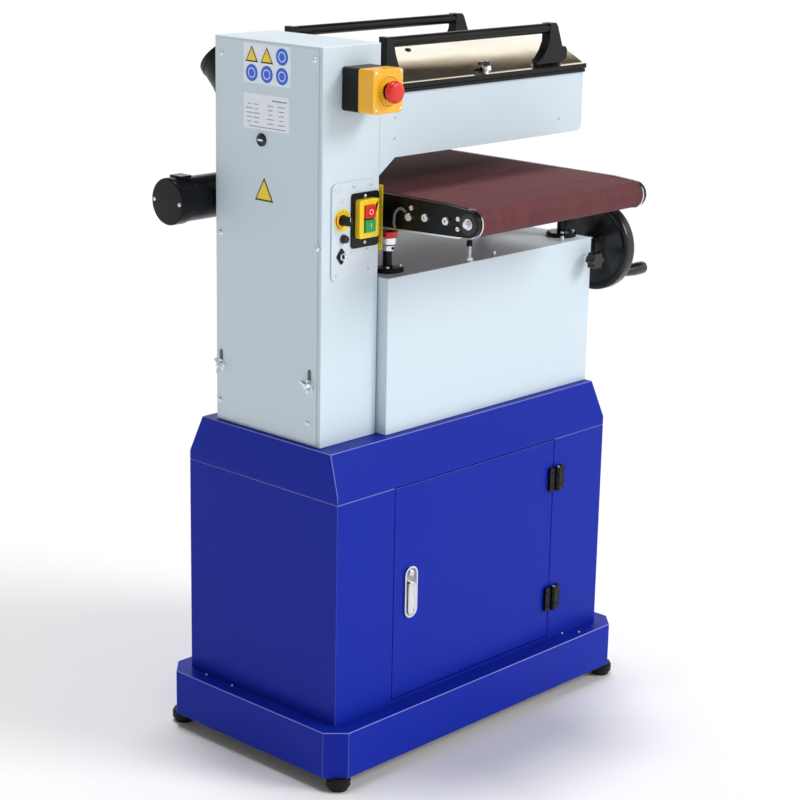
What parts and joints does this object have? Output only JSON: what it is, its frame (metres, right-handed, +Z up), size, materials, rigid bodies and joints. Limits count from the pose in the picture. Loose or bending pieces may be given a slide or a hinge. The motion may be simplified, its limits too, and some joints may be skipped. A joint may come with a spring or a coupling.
{
  "type": "drum sander",
  "caption": "Open-ended drum sander on a floor cabinet: conveyor table raised by a handwheel, hooded drum, side column with controls, dust port.",
  "frame": {"origin": "centre of the footprint (bounding box) at floor level, on the undersides of the feet", "axes": "+X along the drum towards the handwheel, -Y towards the operator at the infeed, +Z up"},
  "size_m": [0.905, 0.6975, 1.276],
  "materials": {
    "blue_paint": "deep blue powder coat, fine orange peel, semi-gloss",
    "grey_paint": "pale blue-grey powder coat, semi-gloss",
    "black_paint": "black powder coat, satin",
    "black_plastic": "moulded black plastic, fine texture",
    "rubber": "black rubber, matt",
    "polished_steel": "polished stainless sheet",
    "machined_steel": "turned and ground steel",
    "abrasive": "cloth-backed abrasive, brown grit",
    "silver_panel": "anodised sheet, satin",
    "yellow_plastic": "moulded yellow plastic",
    "red_plastic": "moulded red plastic",
    "green_plastic": "moulded green plastic",
    "chrome": "plated, bright"
  },
  "bodies": {
    "machine": {"base_plinth": "blue_paint", "foot_front_left": "rubber", "foot_front_right": "rubber", "foot_rear_left": "rubber", "foot_rear_right": "rubber", "cabinet_shell": "blue_paint", "cabinet_cap": "blue_paint", "lower_box": "grey_paint", "column_shell": "grey_paint", "column_side_cover": "grey_paint", "arm_housing": "grey_paint", "drum_bearing_left": "black_paint", "drum_bearing_right": "black_paint", "main_motor": "black_paint", "drive_belt": "rubber", "estop_base": "black_plastic", "estop_housing": "yellow_plastic", "control_panel": "silver_panel", "switch_housing": "yellow_plastic", "dust_port": "black_plastic", "lift_chain": "machined_steel"},
    "door": {"cabinet_door": "blue_paint", "door_hinge_upper": "black_paint", "door_hinge_lower": "black_paint"},
    "door_lever": {"door_handle": "chrome"},
    "hood": {"drum_hood": "polished_steel", "front_handle": "black_paint", "rear_handle": "black_paint"},
    "latch": {"hood_latch": "black_plastic"},
    "table": {"table_frame": "black_paint", "bed_plate": "machined_steel", "conveyor_belt": "abrasive", "side_plate_left": "black_paint", "side_plate_right": "black_paint", "gear_motor": "black_paint", "depth_pointer": "red_plastic", "lift_screw_front_left": "black_paint", "lift_screw_front_right": "black_paint", "lift_screw_rear_left": "black_paint", "lift_screw_rear_right": "black_paint"},
    "rear_belt_roller": {"drive_roller": "machined_steel"},
    "front_belt_roller": {"idler_roller": "machined_steel"},
    "wheel": {"handwheel": "black_plastic", "lift_shaft": "machined_steel"},
    "grip": {"crank_grip": "black_plastic"},
    "drum": {"sanding_drum": "abrasive", "drum_shaft": "machined_steel", "drum_pulley": "machined_steel"},
    "motor_rotor": {"motor_pulley": "machined_steel"},
    "infeed_roller": {"infeed_pressure_roller": "rubber"},
    "outfeed_roller": {"outfeed_pressure_roller": "rubber"},
    "emergency_button": {"estop_button": "red_plastic"},
    "start_key": {"start_button": "green_plastic"},
    "stop_key": {"stop_button": "red_plastic"},
    "speed_dial": {"speed_knob": "black_plastic"},
    "table_lock": {"lock_knob": "black_plastic"},
    "nut_front_left": {"lift_nut_front_left": "machined_steel"},
    "nut_front_right": {"lift_nut_front_right": "machined_steel"},
    "nut_rear_left": {"lift_nut_rear_left": "machined_steel"},
    "nut_rear_right": {"lift_nut_rear_right": "machined_steel"}
  },
  "joints": [
    {"name": "door_hinge", "type": "hinge", "parent": "machine", "child": "door", "pos_m": [0.184, -0.20693, 0.1185], "axis": [0, 0, 1], "range_deg": [0, 110]},
    {"name": "door_handle_pull", "type": "hinge", "parent": "door", "child": "door_lever", "pos_m": [-0.2125, -0.20023, 0.268], "axis": [1, 0, 0], "range_deg": [0, 35]},
    {"name": "hood_hinge", "type": "hinge", "parent": "machine", "child": "hood", "pos_m": [-0.242, 0.11757, 1.193], "axis": [-1, 0, 0], "range_deg": [0, 75]},
    {"name": "hood_latch_turn", "type": "hinge", "parent": "hood", "child": "latch", "pos_m": [0.0431, -0.12043, 1.2125], "axis": [0, 0, 1], "range_deg": [0, 90]},
    {"name": "handwheel_turn", "type": "hinge", "parent": "machine", "child": "wheel", "pos_m": [0.33, -0.13243, 0.849], "axis": [-1, 0, 0], "range_deg": [-2341, 3781]},
    {"name": "crank_grip_spin", "type": "hinge", "parent": "wheel", "child": "grip", "pos_m": [0.3795, -0.18393, 0.8005], "axis": [-1, 0, 0], "continuous": true},
    {"name": "table_lift", "type": "slide", "parent": "machine", "child": "table", "axis": [0, 0, 1], "range_m": [-0.026, 0.042]},
    {"name": "lift_nut_turn_front_left", "type": "hinge", "parent": "machine", "child": "nut_front_left", "pos_m": [-0.1915, -0.11043, 0.812], "axis": [0, 0, 1], "range_deg": [-3781, 2341]},
    {"name": "lift_nut_turn_front_right", "type": "hinge", "parent": "machine", "child": "nut_front_right", "pos_m": [0.2855, -0.11043, 0.812], "axis": [0, 0, 1], "range_deg": [-3781, 2341]},
    {"name": "lift_nut_turn_rear_left", "type": "hinge", "parent": "machine", "child": "nut_rear_left", "pos_m": [-0.1915, 0.08557, 0.812], "axis": [0, 0, 1], "range_deg": [-3781, 2341]},
    {"name": "lift_nut_turn_rear_right", "type": "hinge", "parent": "machine", "child": "nut_rear_right", "pos_m": [0.2855, 0.08557, 0.812], "axis": [0, 0, 1], "range_deg": [-3781, 2341]},
    {"name": "drum_spin", "type": "hinge", "parent": "machine", "child": "drum", "pos_m": [-0.2135, -0.00743, 1.136], "axis": [-1, 0, 0], "continuous": true},
    {"name": "motor_spin", "type": "hinge", "parent": "machine", "child": "motor_rotor", "pos_m": [-0.3205, -0.00743, 0.715], "axis": [-1, 0, 0], "continuous": true},
    {"name": "drive_roller_spin", "type": "hinge", "parent": "table", "child": "rear_belt_roller", "pos_m": [-0.215, 0.16557, 0.9865], "axis": [-1, 0, 0], "continuous": true},
    {"name": "idler_roller_spin", "type": "hinge", "parent": "table", "child": "front_belt_roller", "pos_m": [-0.215, -0.32543, 0.9892], "axis": [-1, 0, 0], "continuous": true},
    {"name": "infeed_roller_spin", "type": "hinge", "parent": "machine", "child": "infeed_roller", "pos_m": [-0.2135, -0.09243, 1.084], "axis": [1, 0, 0], "continuous": true},
    {"name": "outfeed_roller_spin", "type": "hinge", "parent": "machine", "child": "outfeed_roller", "pos_m": [-0.2135, 0.07757, 1.084], "axis": [1, 0, 0], "continuous": true},
    {"name": "emergency_stop_press", "type": "slide", "parent": "machine", "child": "emergency_button", "axis": [0, 1, 0], "range_m": [0, 0.005]},
    {"name": "start_press", "type": "slide", "parent": "machine", "child": "start_key", "axis": [0, 1, 0], "range_m": [0, 0.003], "stiffness_N_per_m": 300},
    {"name": "stop_press", "type": "slide", "parent": "machine", "child": "stop_key", "axis": [0, 1, 0], "range_m": [0, 0.003], "stiffness_N_per_m": 300},
    {"name": "speed_turn", "type": "hinge", "parent": "machine", "child": "speed_dial", "pos_m": [-0.333, -0.14053, 0.983], "axis": [0, -1, 0], "range_deg": [0, 270]},
    {"name": "table_lock_turn", "type": "hinge", "parent": "machine", "child": "table_lock", "pos_m": [0.2945, -0.15973, 0.836], "axis": [0, -1, 0], "range_deg": [-90, 540]}
  ],
  "couplings": [
    {"joint": "handwheel_turn", "follows": "table_lift", "rad_per_m": 1570.8},
    {"joint": "lift_nut_turn_front_left", "follows": "table_lift", "rad_per_m": -1570.8},
    {"joint": "lift_nut_turn_front_right", "follows": "table_lift", "rad_per_m": -1570.8},
    {"joint": "lift_nut_turn_rear_left", "follows": "table_lift", "rad_per_m": -1570.8},
    {"joint": "lift_nut_turn_rear_right", "follows": "table_lift", "rad_per_m": -1570.8},
    {"joint": "motor_spin", "follows": "drum_spin", "ratio": 1.4286},
    {"joint": "idler_roller_spin", "follows": "drive_roller_spin", "ratio": 1.2697}
  ]
}
